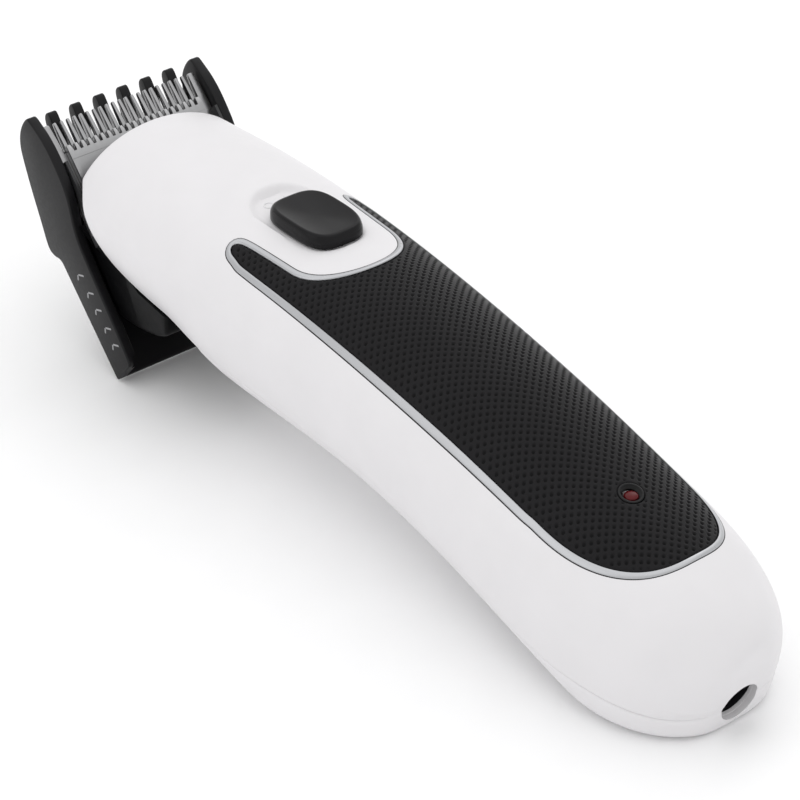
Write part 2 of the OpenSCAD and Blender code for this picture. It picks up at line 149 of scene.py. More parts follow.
def skin(y, turn, inset=0.0):
    """Points of the housing's skin, inset under it, at station y and at an angle from the ridge."""
    half, ridge, waist, belly, lean, low = section(y, inset)
    cosine = np.cos(turn)
    power = np.where(cosine > 0, 1.0, 2 / low)
    side = np.sign(np.sin(turn)) * np.abs(np.sin(turn)) ** power
    up = np.where(cosine > 0, np.maximum(ridge - waist, 1) * cosine,
                  -np.maximum(waist - belly, 1) * np.abs(cosine) ** power)
    return np.stack([half * side, y - up * np.sin(lean), waist + up * np.cos(lean)], -1)


def seam_turn(y):
    """Angle from the ridge at which station y meets the parting line."""
    _, ridge, waist, belly, lean, low = section(y)
    up = np.zeros_like(y)
    for _ in range(12):
        up = (curve(SEAM, y - up * np.sin(lean)) - waist) / np.cos(lean)
    above = np.clip(up / np.maximum(ridge - waist, 1), 0, 1)
    below = np.clip(-up / np.maximum(waist - belly, 1), 0, 1) ** (low / 2)
    return np.where(up > 0, np.arccos(above), np.arccos(-below))


def top_height(x, y, inset=0.0):
    """Height of the upper skin over a point of the plan."""
    station = np.array(y, float)
    up = np.zeros_like(station)
    for _ in range(14):
        half, ridge, waist, _, lean, _ = section(station, inset)
        up = np.maximum(ridge - waist, 1) * np.sqrt(np.clip(1 - (x / half) ** 2, 0.0004, 1))
        station = y + up * np.sin(lean)
    return waist + up * np.cos(lean)


def on_plane(points, origin, out, radius):
    """Presses points that stand past a plane onto it, with a rounding of that radius before it."""
    past = (points - origin) @ out
    rounded = np.where(past < -radius, past, -(past - radius) ** 2 / (4 * radius))
    pressed = np.where(past > radius, 0, rounded)
    return points + (pressed - past)[..., None] * out


def from_cut(x, u, w):
    """A point given across, along and out of the cutting plane."""
    x, u, w = np.broadcast_arrays(x, u, w)
    sine, cosine = math.sin(CUT_ANGLE), math.cos(CUT_ANGLE)
    return np.stack([x, BLADE_Y + u * cosine - w * sine, BLADE_Z + u * sine + w * cosine], -1)


# ---------------------------------------------------------------- meshes

def place(points):
    """Millimetres in the clipper's layout to metres in the frame."""
    return (np.asarray(points, float).reshape(-1, 3) - [0, MID_Y, 0]) * MM


def mesh_object(name, points, faces):
    mesh = bpy.data.meshes.new(name)
    mesh.from_pydata(place(points).tolist(), [], [list(map(int, f)) for f in faces])
    mesh.validate()
    obj = bpy.data.objects.new(name, mesh)
    bpy.context.scene.collection.objects.link(obj)
    return obj


def grid_faces(index):
    """Quads over a table of vertex numbers, without the ones that its merged vertices close."""
    a, b = index[:-1, :-1].ravel(), index[:-1, 1:].ravel()
    c, d = index[1:, 1:].ravel(), index[1:, :-1].ravel()
    faces = []
    for quad in zip(a, b, c, d):
        corners = [v for i, v in enumerate(quad) if v != quad[i - 1]]
        if len(corners) > 2:
            faces.append(corners)
    return faces


def thick(name, outer, inner, faces):
    """Closed piece between two sheets of the same faces, walled along their open edges."""
    count = len(outer)
    edges = {}
    for face in faces:
        for i, v in enumerate(face):
            edges[(face[i - 1], v)] = True
    walls = [(b, a, a + count, b + count) for a, b in edges if (b, a) not in edges]
    back = [[v + count for v in reversed(face)] for face in faces]
    return mesh_object(name, np.concatenate([outer, inner]), faces + back + walls)


def tidy_mesh(obj, sharp=32):
    """Outward normals, smooth shading and sharp edges above an angle in degrees."""
    bm = bmesh.new()
    bm.from_mesh(obj.data)
    bmesh.ops.remove_doubles(bm, verts=bm.verts, dist=1e-6)
    bmesh.ops.dissolve_degenerate(bm, edges=bm.edges, dist=1e-7)
    bmesh.ops.recalc_face_normals(bm, faces=bm.faces)
    bm.to_mesh(obj.data)
    bm.free()
    obj.data.shade_smooth()
    obj.data.set_sharp_from_angle(angle=math.radians(sharp))
    return obj


def applied(obj):
    """Replaces the mesh with the result of the object's modifiers."""
    bpy.context.view_layer.update()
    graph = bpy.context.evaluated_depsgraph_get()
    mesh = bpy.data.meshes.new_from_object(obj.evaluated_get(graph))
    obj.modifiers.clear()
    obj.data = mesh
    return obj


def combine(obj, others, operation):
    """Joins solids to obj or cuts them from it. The others are used up."""
    for other in others:
        change = obj.modifiers.new("change", "BOOLEAN")
        change.object = other
        change.operation = operation
        change.solver = "MANIFOLD"
        applied(obj)
        bpy.data.objects.remove(other)
    return obj


def rounded_outline(points, reach, steps=6):
    """A polygon with each corner turned into a curve that starts up to reach before the corner.

    reach is one length, or one for each corner."""
    points = np.array(points, float)
    out = []
    for i, (corner, most) in enumerate(zip(points, np.broadcast_to(reach, len(points)))):
        before, after = points[i - 1] - corner, points[(i + 1) % len(points)] - corner
        to_start, to_end = np.linalg.norm(before), np.linalg.norm(after)
        start = corner + before / to_start * min(most, 0.48 * to_start)
        end = corner + after / to_end * min(most, 0.48 * to_end)
        for k in range(steps + 1):
            t = k / steps
            out.append((1 - t) ** 2 * start + 2 * t * (1 - t) * corner + t * t * end)
    return np.array(out)


def plate(name, outline, across, to_point, edge=0.3, segments=3):
    """A flat outline given a thickness from across[0] to across[1], with rounded edges.

    to_point turns (across, first, second) into a point of the layout."""
    n = len(outline)
    first, second = np.array(outline, float).T
    points = np.concatenate([to_point(np.full(n, level), first, second) for level in across])
    sides = [(i, (i + 1) % n, n + (i + 1) % n, n + i) for i in range(n)]
    obj = mesh_object(name, points, [list(range(n - 1, -1, -1)), list(range(n, 2 * n))] + sides)
    bm = bmesh.new()
    bm.from_mesh(obj.data)
    bmesh.ops.recalc_face_normals(bm, faces=bm.faces)
    caps = [f for f in bm.faces if len(f.verts) == n]
    rims = list({e for f in caps for e in f.edges})
    bmesh.ops.bevel(bm, geom=rims, offset=edge * MM, segments=segments, profile=0.5,
                    affect="EDGES", clamp_overlap=True)
    bm.to_mesh(obj.data)
    bm.free()
    return tidy_mesh(obj)


def side_point(x, y, z):
    return np.stack([x, y, z], -1)


def bar(name, low, high, to_point=side_point, edge=0.3):
    """A straight bar between two corners, with rounded edges all round."""
    (x0, u0, w0), (x1, u1, w1) = low, high
    outline = rounded_outline([(u0, w0), (u1, w0), (u1, w1), (u0, w1)], edge, 4)
    return plate(name, outline, (x0, x1), to_point, edge)


def turned(name, profile, centre, along=(0, 0, 1), segments=64):
    """A profile of (radius, height) turned about an axis through centre."""
    axis = Vector(along).normalized()
    turn = np.array(axis.to_track_quat("Z", "Y").to_matrix())
    radius, height = np.array(profile, float).T
    angle = np.linspace(0, 2 * math.pi, segments, endpoint=False)
    ring = np.stack([np.cos(angle)[:, None] * radius, np.sin(angle)[:, None] * radius,
                     np.broadcast_to(height, (segments, len(height)))], -1)
    points = ring.reshape(-1, 3) @ turn.T + np.array(centre, float)
    index = np.arange(segments * len(height)).reshape(segments, -1)
    index = np.concatenate([index, index[:1]])
    return tidy_mesh(mesh_object(name, points, grid_faces(index)))


def rod(name, centre, along, start, end, radius, edge=0.0, segments=64):
    """A round rod or cutter along an axis, from start to end."""
    edge = max(edge, 0.001)
    profile = [(0, start), (radius - edge, start), (radius, start + edge), (radius, end - edge),
               (radius - edge, end), (0, end)]
    return turned(name, profile, centre, along, segments)


# ---------------------------------------------------------------- materials

def nodes_of(name):
    material = bpy.data.materials.new(name)
    material.use_nodes = True
    tree = material.node_tree
    shader = next(n for n in tree.nodes if n.type == "BSDF_PRINCIPLED")
    return material, tree, shader


def noise(tree, size_mm, detail=2, stretch=(1, 1, 1)):
    """Noise with features of about size_mm, longer along the axes with a stretch above 1."""
    place_node = tree.nodes.new("ShaderNodeTexCoord")
    mapping = tree.nodes.new("ShaderNodeMapping")
    mapping.inputs["Scale"].default_value = [1 / (size_mm * MM * s) for s in stretch]
    pattern = tree.nodes.new("ShaderNodeTexNoise")
    pattern.inputs["Scale"].default_value = 1
    pattern.inputs["Detail"].default_value = detail
    tree.links.new(place_node.outputs["Object"], mapping.inputs["Vector"])
    tree.links.new(mapping.outputs["Vector"], pattern.inputs["Vector"])
    return pattern.outputs["Fac"]


def span(tree, value, low, high, start=0.3, end=0.7):
    """Maps a noise value from start to end onto low to high."""
    node = tree.nodes.new("ShaderNodeMapRange")
    node.inputs["From Min"].default_value = start
    node.inputs["From Max"].default_value = end
    node.inputs["To Min"].default_value = low
    node.inputs["To Max"].default_value = high
    tree.links.new(value, node.inputs["Value"])
    return node.outputs["Result"]


def mix(tree, factor, first, second):
    """Colour between two colours, or between a colour and a socket."""
    node = tree.nodes.new("ShaderNodeMix")
    node.data_type = "RGBA"
    tree.links.new(factor, node.inputs["Factor"])
    for name, colour in (("A", first), ("B", second)):
        socket = next(s for s in node.inputs if s.name == name and s.type == "RGBA")
        if isinstance(colour, bpy.types.NodeSocket):
            tree.links.new(colour, socket)
        else:
            socket.default_value = (*colour, 1)
    return next(s for s in node.outputs if s.type == "RGBA")


def surface(name, colour, rough, grain, depth_um, drift=0.05, metallic=0.0, coat=0.0,
            stretch=(1, 1, 1), specular=0.5):
    """A moulded, cast or brushed surface: slow drift of tone, uneven gloss and a fine grain."""
    material, tree, shader = nodes_of(name)
    darker = tuple(c * (1 - drift) for c in colour)
    lighter = tuple(min(c * (1 + drift), 1) for c in colour)
    cloud = span(tree, noise(tree, 9, 3), 0, 1)
    tree.links.new(mix(tree, cloud, darker, lighter), shader.inputs["Base Color"])
    gloss = span(tree, noise(tree, grain * 3, 3, stretch), rough * 0.88, rough * 1.12)
    tree.links.new(gloss, shader.inputs["Roughness"])
    bump = tree.nodes.new("ShaderNodeBump")
    bump.inputs["Strength"].default_value = 0.6
    bump.inputs["Distance"].default_value = depth_um * 1e-6
    tree.links.new(noise(tree, grain, 2, stretch), bump.inputs["Height"])
    tree.links.new(bump.outputs["Normal"], shader.inputs["Normal"])
    shader.inputs["Metallic"].default_value = metallic
    shader.inputs["Coat Weight"].default_value = coat
    shader.inputs["Coat Roughness"].default_value = 0.08
    shader.inputs["Specular IOR Level"].default_value = specular
    return material


def pad_surface():
    """Soft grip rubber with painted shade: its base colour darkens to near black in the pits of its
    net.
    """
    material = surface("grip_rubber", (0.009, 0.0085, 0.0095), 0.46, 0.12, 8, drift=0.08,
                       specular=0.12)
    tree = material.node_tree
    shader = next(n for n in tree.nodes if n.type == "BSDF_PRINCIPLED")
    pits = tree.nodes.new("ShaderNodeAttribute")
    pits.attribute_name = "pit_relief_and_painted_shade"
    tone = shader.inputs["Base Color"].links[0].from_socket
    # painted shade: the pits' depth share blends the base colour towards near black, so the pits
    # look shaded
    tree.links.new(mix(tree, pits.outputs["Fac"], tone, (0.0015, 0.0015, 0.0018)),
                   shader.inputs["Base Color"])
    return material


def board_surface():
    """Printed board: green resist over copper tracks that run along and across."""
    material = surface("board_green", (0.02, 0.17, 0.07), 0.35, 0.3, 10, coat=0.3)
    tree = material.node_tree
    shader = next(n for n in tree.nodes if n.type == "BSDF_PRINCIPLED")
    resist = shader.inputs["Base Color"].links[0].from_socket
    tracks = span(tree, noise(tree, 0.9, 0, (1, 14, 1)), 0, 1, 0.56, 0.6)
    tree.links.new(mix(tree, tracks, resist, (0.09, 0.3, 0.1)), shader.inputs["Base Color"])
    return material


def paint(obj, material):
    obj.data.materials.clear()
    obj.data.materials.append(material)
    return obj


# ---------------------------------------------------------------- housing shells

def edge_rounding(distance, radius):
    """How far the skin draws in at a distance from an edge with that radius."""
    near = np.clip(radius - distance, 0, radius)
    return radius - np.sqrt(radius * radius - near * near)


def tail_stations():
    """Stations of the tail, from its tip to the indicator, closer together where it turns in."""
    crowding, close_share = 1.3, 0.625
    angle = np.linspace(math.pi / 2, math.asin(close_share ** crowding), 56)
    turned_in = -TAIL_LEN * np.sin(angle) ** (1 / crowding)
    return np.concatenate([turned_in, np.arange(-17.5, 0, 0.5)])


def column_places(count):
    """Places from -1 to 1 around a shell, with a few more beside its edges."""
    edge = np.array([0, 0.0015, 0.0035, 0.006, 0.009])
    middle = np.linspace(-0.987, 0.987, count)
    return np.concatenate([-1 + edge, middle, 1 - edge[::-1]])


def pad_half(y):
    return 14.1 + 1.1 * min(y, 84) / 84


def pad_outline():
    """Plan of the grip pad: a round tail, long sides and two horns beside the switch."""
    side = [(pad_half(y), y) for y in np.arange(10, 89, 2)]
    horn = [(14.9, 89.5), (14.6, 91.6), (13.7, 92.7), (12.8, 92.3), (12.4, 91), (12.15, 88.5)]
    notch_start = math.radians(4)
    notch = [(NOTCH_R * math.cos(a), NOTCH_Y - NOTCH_R * math.sin(a))
             for a in np.linspace(notch_start, math.pi / 2, 26)]
    half = side + horn + [(11.9, 84)] + notch
    tail = [(14.1 * math.cos(a) ** 0.8, 8 - 23.2 * math.sin(a) ** 0.8)
            for a in np.linspace(math.pi / 2, 0, 40)]
    right = tail + half
    left = [(-x, y) for x, y in reversed(right) if x > 1e-6]
    return np.array(right + left)


PAD_OUTLINE = pad_outline()


def outline_distance(x, y, outline):
    """Signed distance of points of the plan to a closed outline, negative inside."""
    shape = np.shape(x)
    x, y = np.ravel(x), np.ravel(y)
    best = np.full(x.shape, 1e9)
    inside = np.zeros(x.shape, bool)
    for (x0, y0), (x1, y1) in zip(outline, np.roll(outline, -1, 0)):
        dx, dy = x1 - x0, y1 - y0
        t = np.clip(((x - x0) * dx + (y - y0) * dy) / (dx * dx + dy * dy), 0, 1)
        best = np.minimum(best, (x - x0 - t * dx) ** 2 + (y - y0 - t * dy) ** 2)
        if y0 != y1:
            crossing = (y0 > y) != (y1 > y)
            inside ^= crossing & (x < x0 + (y - y0) * dx / dy)
    distance = np.sqrt(best)
    return np.where(inside, -distance, distance).reshape(shape)


def pocket_distance(x, y):
    """Signed distance to the switch pocket's rounded outline, negative inside."""
    corner = 6.2
    middle = (POCKET_BACK + POCKET_FRONT) / 2
    qx = np.abs(x) - (POCKET_W / 2 - corner)
    qy = np.abs(y - middle) - ((POCKET_FRONT - POCKET_BACK) / 2 - corner)
    outside = np.hypot(np.maximum(qx, 0), np.maximum(qy, 0))
    return outside + np.minimum(np.maximum(qx, qy), 0) - corner


def sink_pocket(points):
    """Sinks the pocket around the switch, with a soft shoulder."""
    distance = pocket_distance(points[..., 0], points[..., 1])
    shoulder = POCKET_Z + np.maximum(distance + 0.5, 0) * 0.95
    height = points[..., 2]
    gap = np.clip(0.5 + (shoulder - height) / 0.5, 0, 1)
    lower = shoulder + (height - shoulder) * gap - 0.25 * gap * (1 - gap)
    near = (distance < 2.5) & (height > 38)
    points[..., 2] = np.where(near, np.minimum(lower, height), height)
    return points


def upper_shell():
    radius = 0.7
    turn_in = np.linspace(0, math.pi / 2, 7)
    body = np.concatenate([tail_stations(), np.arange(0, FRONT_Y - radius - 0.2, 0.5)])
    rounding = FRONT_Y - radius + radius * np.sin(turn_in)
    face_rows = 7
    stations = np.concatenate([body, rounding, np.full(face_rows, FRONT_Y)])
    front_inset = np.concatenate([0 * body, radius * (1 - np.cos(turn_in)),
                                  np.full(face_rows, radius)])
    places = column_places(141)
    arc = seam_turn(stations) * 17
    y = np.repeat(stations[:, None], len(places), 1)
    turn = seam_turn(stations)[:, None] * places
    from_seam = (1 - np.abs(places)) * arc[:, None]
    inset = front_inset[:, None] + edge_rounding(from_seam, 0.35)
    sag = FRONT_RADIUS - np.sqrt(FRONT_RADIUS ** 2 - skin(y, turn)[..., 0] ** 2)
    y = y - sag * np.clip((y - 120) / (FRONT_Y - 120), 0, 1) ** 2
    turn = seam_turn(y) * places
    over = skin(y, turn, inset)
    seat = smoothstep((0.45 - outline_distance(over[..., 0], over[..., 1], PAD_OUTLINE)) / 0.7)
    seat = np.where(np.abs(turn) < 1.2, seat, 0)
    outer = skin(y, turn, inset + seat * (PAD_DEPTH + 0.06))
    inner = skin(np.minimum(y, FRONT_Y - 2.4 + 0.02 * (y - FRONT_Y)), turn, WALL)
    for sheet in (outer, inner):
        rows = sheet[-face_rows:]
        chord = np.minimum(rows[0, :, 2], curve(SEAM, FRONT_Y) + 0.1)
        share = (np.arange(face_rows) + 1)[:, None] / face_rows
        rows[..., 2] = rows[0, :, 2] + (chord - rows[0, :, 2]) * share
    outer = on_plane(sink_pocket(outer), FACET_POINT, FACET_OUT, FACET_ROUND)
    inner = on_plane(inner, FACET_POINT - WALL * FACET_OUT, FACET_OUT, FACET_ROUND)
    return shell_between("upper_shell", outer, inner)


def shell_between(name, outer, inner):
    """Closed shell between two grids whose first rows close the tail's tip."""
    rows, columns = outer.shape[:2]
    index = np.arange(rows * columns).reshape(rows, columns)
    mirrored = columns - 1 - np.arange(columns)
    index[0] = np.minimum(index[0], mirrored)
    return thick(name, outer.reshape(-1, 3), inner.reshape(-1, 3), grid_faces(index))


def around_below(stations, count):
    """Station and angle grids for the part of the housing under the parting line."""
    places = column_places(count)
    limit = seam_turn(stations)[:, None]
    turn = math.pi + (math.pi - limit) * places
    from_seam = (1 - np.abs(places)) * (math.pi - limit) * 15
    return np.repeat(stations[:, None], len(places), 1), turn, from_seam


def lower_shell():
    end = SHELL_SPLIT
    stations = np.concatenate([tail_stations(), np.arange(0, end - 0.6, 0.8), end - 0.3 + 0.3
                               * np.sin(np.linspace(0, math.pi / 2, 4))])
    y, turn, from_seam = around_below(stations, 121)
    inset = np.maximum(edge_rounding(from_seam, 0.35), edge_rounding(end - y, 0.3))
    outer = on_plane(skin(y, turn, inset), FACET_POINT, FACET_OUT, FACET_ROUND)
    inner = on_plane(skin(y, turn, WALL), FACET_POINT - WALL * FACET_OUT, FACET_OUT, FACET_ROUND)
    shell = shell_between("lower_shell", outer, inner)
    bosses, sinks = [], []
    screw_places = ((-6, 7, 5), (58, 19, 11.5))
    for station, top, sink in screw_places:
        floor = float(curve(BELLY, station)) + 0.8
        bosses.append(rod("boss", (0, station, 0), (0, 0, 1), floor, top, 3.4))
        sinks.append(rod("sink", (0, station, 0), (0, 0, 1), -3, sink, 2.4))
        sinks.append(rod("bore", (0, station, 0), (0, 0, 1), sink - 1, top + 2, 1.1))
    combine(shell, bosses, "UNION")
    return combine(shell, sinks, "DIFFERENCE")


def inlet_cutter(radius, deep, out=12):
    return rod("inlet", FACET_POINT, FACET_OUT, -deep, out, radius)


def build_shells():
    white = surface("white_abs", (0.73, 0.718, 0.732), 0.38, 0.7, 14, drift=0.012, specular=0.4)
    upper = upper_shell()
    lower = lower_shell()
    slot = bar("slot", (-2.4, BUTTON_Y - 4.6, 40), (2.4, BUTTON_Y + 4.6 + BUTTON_TRAVEL, 50),
               edge=0.2)
    lamp_hole = rod("lamp_hole", (0, 0, 0), (0, 0, 1), 20, 50, 1.6)
    combine(upper, [inlet_cutter(INLET_R, 8), slot, lamp_hole], "DIFFERENCE")
    combine(lower, [inlet_cutter(INLET_R, 8)], "DIFFERENCE")
    for shell, name in ((upper, "upper_shell"), (lower, "lower_shell")):
        finish_piece(tidy_mesh(shell), white, "housing", name)
    black = surface("inlet_black", (0.008, 0.008, 0.009), 0.4, 0.3, 8, drift=0.1, specular=0.25)
    finish_piece(inlet_tube("inlet_lining", -1.0, -1.7), white, "housing", slot_name="upper_shell")
    finish_piece(inlet_tube("inlet_sleeve", -1.7, -6.4), black, "housing", slot_name="dc_jack")


def inlet_tube(name, start, end):
    """Wall of the charging inlet between two depths behind the facet, with a softened lip."""
    inner, outer = INLET_R - 0.04, 5.2
    tube = [(inner, start - 0.15), (inner, end), (outer, end), (outer, start), (inner + 0.2, start)]
    return turned(name, tube + tube[:1], FACET_POINT, FACET_OUT, 72)


def finish_piece(obj, material, body, *nodes, slot_name=None):
    """Paints a piece, ties it to its body and hides the CAD nodes that it replaces."""
    paint(obj, material)
    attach(obj, body)
    if nodes:
        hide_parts(*nodes)
    return obj


# ---------------------------------------------------------------- black head cover

HEAD_PROFILE = [(110, 22), (110, 16), (113, 14.4), (117, 13.4), (121, 12.9), (125, 12.8),
                (128.4, 13.2), (131.2, 14.6), (142.6, 27.2), (146.4, 40.2), (140, 40.2), (131, 36)]
BLOCK_HALF = 17.5
COMB_SIDE = [(HEEL_U, COMB_FLOOR), (-18.4, COMB_FLOOR), (-17, -16.2), (-14.9, -17), (-10.5, -15.2),
             (-4.1, -13), (1.8, -10.6), (4.6, -9.2), (6.6, -7), (7.7, -4.2), (7.9, -1.6),
             (6.9, -1), (5.6, -0.6), (3, 0.3), (-1, 0.8), (-8.6, 0.2), (-16.6, -4.2),
             (-25.5, -5), (-36, -5.7), (HEEL_U + 1, -6.6)]


def grown(outline, by):
    """A counterclockwise or clockwise outline moved outwards."""
    outline = np.array(outline, float)
    ahead = np.roll(outline, -1, 0) - np.roll(outline, 1, 0)
    normal = np.stack([ahead[:, 1], -ahead[:, 0]], -1)
    normal /= np.linalg.norm(normal, axis=1)[:, None]
    x, y = outline.T
    turning = np.sum(x * np.roll(y, -1) - y * np.roll(x, -1))
    return outline + normal * by * np.sign(turning)


def head_cover():
    black = surface("black_head", (0.003, 0.003, 0.0034), 0.38, 0.5, 10, drift=0.1, specular=0.08)
    stations = np.arange(SHELL_SPLIT + 0.1, 141, 0.5)
    y, turn, from_seam = around_below(stations, 101)
    inset = 0.1 + np.maximum(edge_rounding(from_seam, 0.3), edge_rounding(y - stations[0], 0.3))
    chin = np.array([0, 131.2, 14.6])
    rise = np.array([0, 142.6 - 131.2, 27.2 - 14.6])
    chin_out = np.array([0, rise[2], -rise[1]]) / np.linalg.norm(rise)
    outer = on_plane(skin(y, turn, inset), chin, chin_out, 2.5)
    inner = on_plane(skin(y, turn, WALL), chin - WALL * chin_out, chin_out, 1.5)
    index = np.arange(outer[..., 0].size).reshape(outer.shape[:2])
    cover = thick("head_cover", outer.reshape(-1, 3), inner.reshape(-1, 3), grid_faces(index))
    recess = grown(COMB_SIDE, 0.35)
    combine(cover, [plate("recess", recess, tuple(sorted((s * BLOCK_HALF, s * 22))), from_cut, 0.05)
                    for s in (-1, 1)], "DIFFERENCE")
    block = plate("block", rounded_outline(HEAD_PROFILE, 1.6), (-BLOCK_HALF, BLOCK_HALF),
                  side_point, 0.8, 4)
    hollow = [(106, 24), (112, 17.2), (117, 15.6), (124, 14.9), (129.6, 16.2), (141, 28.6),
              (142.6, 34), (136, 38), (128, 36)]
    combine(block, [plate("hollow", hollow, (2 - BLOCK_HALF, BLOCK_HALF - 2), side_point, 0.2)],
            "DIFFERENCE")
    rails = bar("rails", (-18.9, -29, -8.3), (18.9, -17, -6.7), from_cut, 0.35)
    combine(cover, [block, rails], "UNION")
    clear_y = np.array([103, 112, 119, 124, 128.5, 131.4, 134.6, 140, 140, 103])
    clear_z = curve(SEAM, clear_y) - 0.15
    clear_z[-2:] = 60
    above = plate("above", np.stack([clear_y, clear_z], -1), (-30, 30), side_point, 0.01)
    seat = bar("seat", (-30, -20.4, -3), (30, 25, 30), from_cut, 0.1)
    combine(cover, [above, seat], "DIFFERENCE")
    finish_piece(tidy_mesh(cover), black, "housing", "head_cover")


# ---------------------------------------------------------------- grip pad, trim and indicator

NET_PITCH = 1.68
NET_STEP = NET_PITCH / 10


def pit_depth(x, y):
    """Share of full depth of the pad's pits, which lie on a square net turned by 45 degrees."""
    u = (x + y) / NET_PITCH
    v = (x - y) / NET_PITCH
    peak = (np.cos(math.pi * u) * np.cos(math.pi * v)) ** 2
    return smoothstep((peak - 0.34) / 0.36)


def grip_pad():
    xs = np.arange(-16, 16.01, NET_STEP)
    ys = np.arange(-17, 94.5, NET_STEP)
    x, y = np.meshgrid(xs, ys)
    distance = outline_distance(x, y, PAD_OUTLINE)
    lamp = np.hypot(x, y)
    corner_in = (distance < 0.14) & (lamp > LED_HOLE_R - 0.05)
    keep = corner_in[:-1, :-1] & corner_in[:-1, 1:] & corner_in[1:, 1:] & corner_in[1:, :-1]
    used = np.zeros(x.shape, bool)
    for rows in (slice(0, -1), slice(1, None)):
        for columns in (slice(0, -1), slice(1, None)):
            used[rows, columns] |= keep
    number = np.cumsum(used.ravel()).reshape(used.shape) - 1
    r, c = np.nonzero(keep)
    faces = np.stack([number[r, c], number[r, c + 1], number[r + 1, c + 1], number[r + 1, c]], 1)
    x, y, distance, lamp = x[used], y[used], distance[used], lamp[used]
    rim = np.minimum(-distance, lamp - LED_HOLE_R)
    pit_relief_and_painted_shade = pit_depth(x, y) * smoothstep((rim - 0.3) / 0.4)
    relief = 0.03 + 0.3 * pit_relief_and_painted_shade + 0.35 * smoothstep((0.35 - rim) / 0.4)
    top = np.stack([x, y, top_height(x, y) - relief], -1)
    bottom = np.stack([x, y, top_height(x, y) - PAD_DEPTH + 0.02], -1)
    pad = thick("grip_pad", top, bottom, faces.tolist())
    # the pits' depth share is stored for the painted shade in the pits of the rubber
    shade = pad.data.attributes.new("pit_relief_and_painted_shade", "FLOAT", "POINT")
    shade.data.foreach_set("value", np.concatenate([pit_relief_and_painted_shade, 0 * pit_relief_and_painted_shade]).astype(np.float32))
    pad.data.shade_smooth()
    pad.data.set_sharp_from_angle(angle=math.radians(60))
    finish_piece(pad, pad_surface(), "housing", "grip_pad")


def resampled(outline, step):
    """Closed outline with points evenly spaced."""
    closed = np.concatenate([outline, outline[:1]])
    lengths = np.concatenate([[0], np.cumsum(np.linalg.norm(np.diff(closed, axis=0), axis=1))])
    places = np.linspace(0, lengths[-1], int(lengths[-1] / step), endpoint=False)
    return np.stack([np.interp(places, lengths, closed[:, i]) for i in (0, 1)], -1)


def around_pad(name, profile):
    """A band round the pad. Its profile is given out from the pad's outline and under the skin."""
    line = resampled(PAD_OUTLINE, 0.45)
    for _ in range(3):
        line = (np.roll(line, 1, 0) + 2 * line + np.roll(line, -1, 0)) / 4
    ahead = np.roll(line, -1, 0) - np.roll(line, 1, 0)
    outward = np.stack([ahead[:, 1], -ahead[:, 0]], -1)
    outward /= np.linalg.norm(outward, axis=1)[:, None]
    rings = []
    for out, deep in profile:
        at = line + outward * out
        rings.append(np.stack([at[:, 0], at[:, 1], top_height(at[:, 0], at[:, 1]) - deep], -1))
    points = np.stack(rings, 1)
    index = np.arange(points[..., 0].size).reshape(points.shape[:2])
    index = np.concatenate([index, index[:1]])
    index = np.concatenate([index, index[:, :1]], 1)
    return tidy_mesh(mesh_object(name, points, grid_faces(index)), 40)


def trim_ring():
    """Flat bright band round the pad, with a thin black strip outside it: painted shadow, a dark
    line standing in for the shadow of a groove between band and skin.
    """
    silver = surface("satin_chrome", (0.46, 0.465, 0.48), 0.3, 0.25, 3, drift=0.02, metallic=1.0,
                     stretch=(1, 4, 1))
    # painted shadow: near-black colour for the strip outside the band, where a groove's shadow line
    # would be
    black = surface("trim_shadow_line_black", (0.01, 0.01, 0.011), 0.4, 0.3, 5, drift=0.1, specular=0.3)
    band = [(0.06, 0.9), (0.04, 0.1), (0.07, -0.06), (0.14, -0.15), (0.26, -0.19), (0.62, -0.19),
            (0.86, -0.15), (0.95, -0.08), (0.98, 0.03), (0.98, 0.7)]
    # profile of the thin dark strip painted as the groove's shadow line
    lip = [(0.97, 0.4), (0.97, -0.02), (1.03, -0.05), (1.1, -0.03), (1.14, 0.06), (1.14, 0.4)]
    finish_piece(around_pad("trim_ring", band), silver, "housing", "trim_ring")
    finish_piece(around_pad("trim_shadow_line", lip), black, "housing", slot_name="grip_pad")


def indicator():
    red = surface("red_lens", (0.09, 0.002, 0.004), 0.25, 0.4, 2, drift=0.3, specular=0.25)
    black = surface("lamp_bezel_black", (0.004, 0.004, 0.0045), 0.32, 0.3, 4, drift=0.1,
                    specular=0.2)
    seat = float(top_height(np.array([0.0]), np.array([0.0]))[0])
    tilt = (0, -0.26, 1)
    dome = [(0, -4.4), (1.3, -4.4), (1.3, -0.75)]
    dome += [(1.3 * math.cos(a), -0.75 + 0.6 * math.sin(a))
             for a in np.linspace(0.15, math.pi / 2, 12)]
    lens = turned("led_lens", dome, (0, 0, seat), (0, 0, 1), 48)
    finish_piece(lens, red, "housing", "led_lens")
    collar = [(1.36, -1.0), (1.36, -0.6), (1.5, -0.42)]
    collar += [(2.04 - 0.24 * math.cos(a), -0.2 + 0.14 * math.sin(a))
               for a in np.linspace(0, math.pi, 10)]
    collar += [(2.42, -0.5), (2.42, -1.0), (1.36, -1.0)]
    bezel = turned("lamp_bezel", collar, (0, 0, seat), tilt, 64)
    finish_piece(bezel, black, "housing", slot_name="led_body")


# ---------------------------------------------------------------- switch

def superellipse(half_w, half_l, power, count):
    angle = np.linspace(0, 2 * math.pi, count, endpoint=False)
    c, s = np.cos(angle), np.sin(angle)
    return (half_w * np.sign(c) * np.abs(c) ** (2 / power),
            half_l * np.sign(s) * np.abs(s) ** (2 / power))


